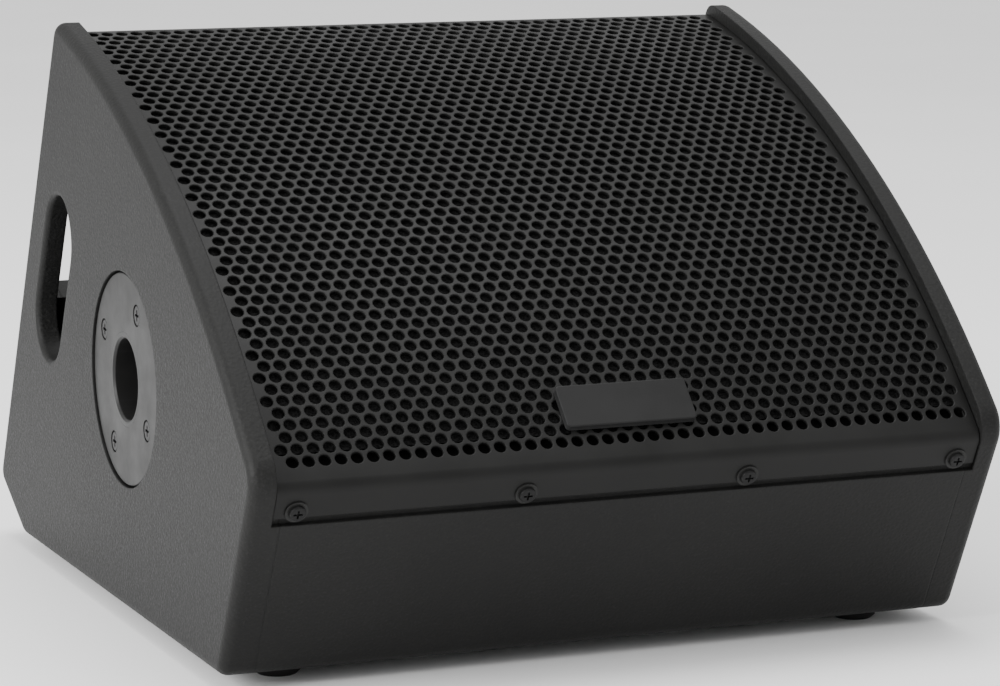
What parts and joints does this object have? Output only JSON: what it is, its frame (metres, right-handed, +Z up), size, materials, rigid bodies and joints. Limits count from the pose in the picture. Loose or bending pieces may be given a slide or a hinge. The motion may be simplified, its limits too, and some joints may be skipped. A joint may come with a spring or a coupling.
{
  "type": "stage monitor wedge",
  "caption": "Compact leaning stage monitor with a curved perforated grille, pole socket, side hand hole and rear amplifier panel.",
  "frame": {"origin": "on the floor, under the middle of the whole cabinet", "axes": "+Z up, -Y the grille and kick panel side (front), +Y the amplifier side, -X the side with the pole socket"},
  "size_m": [0.346, 0.3856, 0.262],
  "materials": {
    "cabinet_paint": "textured black paint on plywood",
    "inner_wood": "matte black paint on plywood",
    "grille_paint": "satin black powder coat",
    "foam": "open-cell black foam",
    "socket_metal": "satin dark steel",
    "black_screws": "black oxide steel",
    "zinc_hardware": "zinc plated",
    "badge_plastic": "satin black, plain",
    "foot_rubber": "matte",
    "cast_frame": "black painted casting",
    "driver_iron": "plated iron",
    "ferrite": "ferrite",
    "driver_gasket": "matte",
    "cone_paper": "pressed paper",
    "surround_rubber": "treated cloth",
    "spider_cloth": "resin-treated cloth",
    "coil": "enamelled winding",
    "horn_plastic": "matte",
    "port_plastic": "matte",
    "amp_paint": "fine black powder coat",
    "sink_aluminium": "black anodised",
    "connector_plastic": "moulded nylon",
    "latch_metal": "nickel",
    "knob_plastic": "moulded",
    "light_lens": "clear tinted",
    "board": "solder mask",
    "capacitor_sleeve": "sleeved can"
  },
  "bodies": {
    "cabinet": {"amp_board": "board", "amp_capacitors": "capacitor_sleeve", "amp_plate": "amp_paint", "amp_screws": "black_screws", "amp_transformer": "driver_iron", "badge": "badge_plastic", "baffle": "inner_wood", "board_standoffs": "zinc_hardware", "bottom_panel": "cabinet_paint", "chamfer_panel": "cabinet_paint", "compression_driver": "horn_plastic", "control_pots": "connector_plastic", "driver_back_plate": "driver_iron", "driver_frame": "cast_frame", "driver_gasket": "driver_gasket", "driver_magnet": "ferrite", "driver_nuts": "zinc_hardware", "driver_pole": "driver_iron", "driver_screws": "zinc_hardware", "driver_spider": "spider_cloth", "driver_surround": "surround_rubber", "driver_top_plate": "driver_iron", "foot_front_left": "foot_rubber", "foot_front_right": "foot_rubber", "foot_rear_left": "foot_rubber", "foot_rear_right": "foot_rubber", "foot_screws": "black_screws", "grille": "grille_paint", "grille_foam": "foam", "grille_screws": "black_screws", "grille_washers": "black_screws", "handle_box": "inner_wood", "heat_sink": "sink_aluminium", "horn": "horn_plastic", "indicator_lights": "light_lens", "input_socket_1": "connector_plastic", "input_socket_2": "connector_plastic", "kick_panel": "cabinet_paint", "link_socket": "connector_plastic", "mains_inlet": "connector_plastic", "mode_switch": "connector_plastic", "pole_socket_cup": "socket_metal", "pole_socket_plate": "socket_metal", "pole_socket_screws": "black_screws", "ports": "port_plastic", "power_switch": "connector_plastic", "rear_panel": "cabinet_paint", "side_panel_left": "cabinet_paint", "side_panel_right": "cabinet_paint", "socket_screws": "black_screws"},
    "low_knob": {"low_knob": "knob_plastic"},
    "high_knob": {"high_knob": "knob_plastic"},
    "level_knob_1": {"level_knob_1": "knob_plastic"},
    "level_knob_2": {"level_knob_2": "knob_plastic"},
    "input_latch_1": {"input_latch_1": "latch_metal"},
    "input_latch_2": {"input_latch_2": "latch_metal"},
    "mode_button": {"mode_button": "knob_plastic"},
    "power_rocker": {"power_rocker": "knob_plastic"},
    "cone_assembly": {"driver_cone": "cone_paper", "voice_coil": "coil"}
  },
  "joints": [
    {"name": "level_knob_1_turn", "type": "hinge", "parent": "cabinet", "child": "level_knob_1", "pos_m": [-0.04, 0.13065, 0.14341], "axis": [0, 0.9047, 0.4261], "range_deg": [-150, 150]},
    {"name": "level_knob_2_turn", "type": "hinge", "parent": "cabinet", "child": "level_knob_2", "pos_m": [-0.014, 0.13065, 0.14341], "axis": [0, 0.9047, 0.4261], "range_deg": [-150, 150]},
    {"name": "low_knob_turn", "type": "hinge", "parent": "cabinet", "child": "low_knob", "pos_m": [0.012, 0.13065, 0.14341], "axis": [0, 0.9047, 0.4261], "range_deg": [-150, 150]},
    {"name": "high_knob_turn", "type": "hinge", "parent": "cabinet", "child": "high_knob", "pos_m": [0.038, 0.13065, 0.14341], "axis": [0, 0.9047, 0.4261], "range_deg": [-150, 150]},
    {"name": "input_latch_1_press", "type": "slide", "parent": "cabinet", "child": "input_latch_1", "axis": [0, -0.9047, -0.4261], "range_m": [0, 0.0015], "stiffness_N_per_m": 300, "springref_m": -0.001},
    {"name": "input_latch_2_press", "type": "slide", "parent": "cabinet", "child": "input_latch_2", "axis": [0, -0.9047, -0.4261], "range_m": [0, 0.0015], "stiffness_N_per_m": 300, "springref_m": -0.001},
    {"name": "mode_button_press", "type": "slide", "parent": "cabinet", "child": "mode_button", "axis": [0, -0.9047, -0.4261], "range_m": [0, 0.0025], "stiffness_N_per_m": 400, "springref_m": -0.001},
    {"name": "power_rocker_tip", "type": "hinge", "parent": "cabinet", "child": "power_rocker", "pos_m": [0.122, 0.15105, 0.09775], "axis": [1, 0, 0], "range_deg": [-16, 0]},
    {"name": "cone_travel", "type": "slide", "parent": "cabinet", "child": "cone_assembly", "axis": [0, -0.5067, 0.8621], "range_m": [-0.004, 0.004], "stiffness_N_per_m": 3000, "deforming": ["driver_surround", "driver_spider"]}
  ]
}
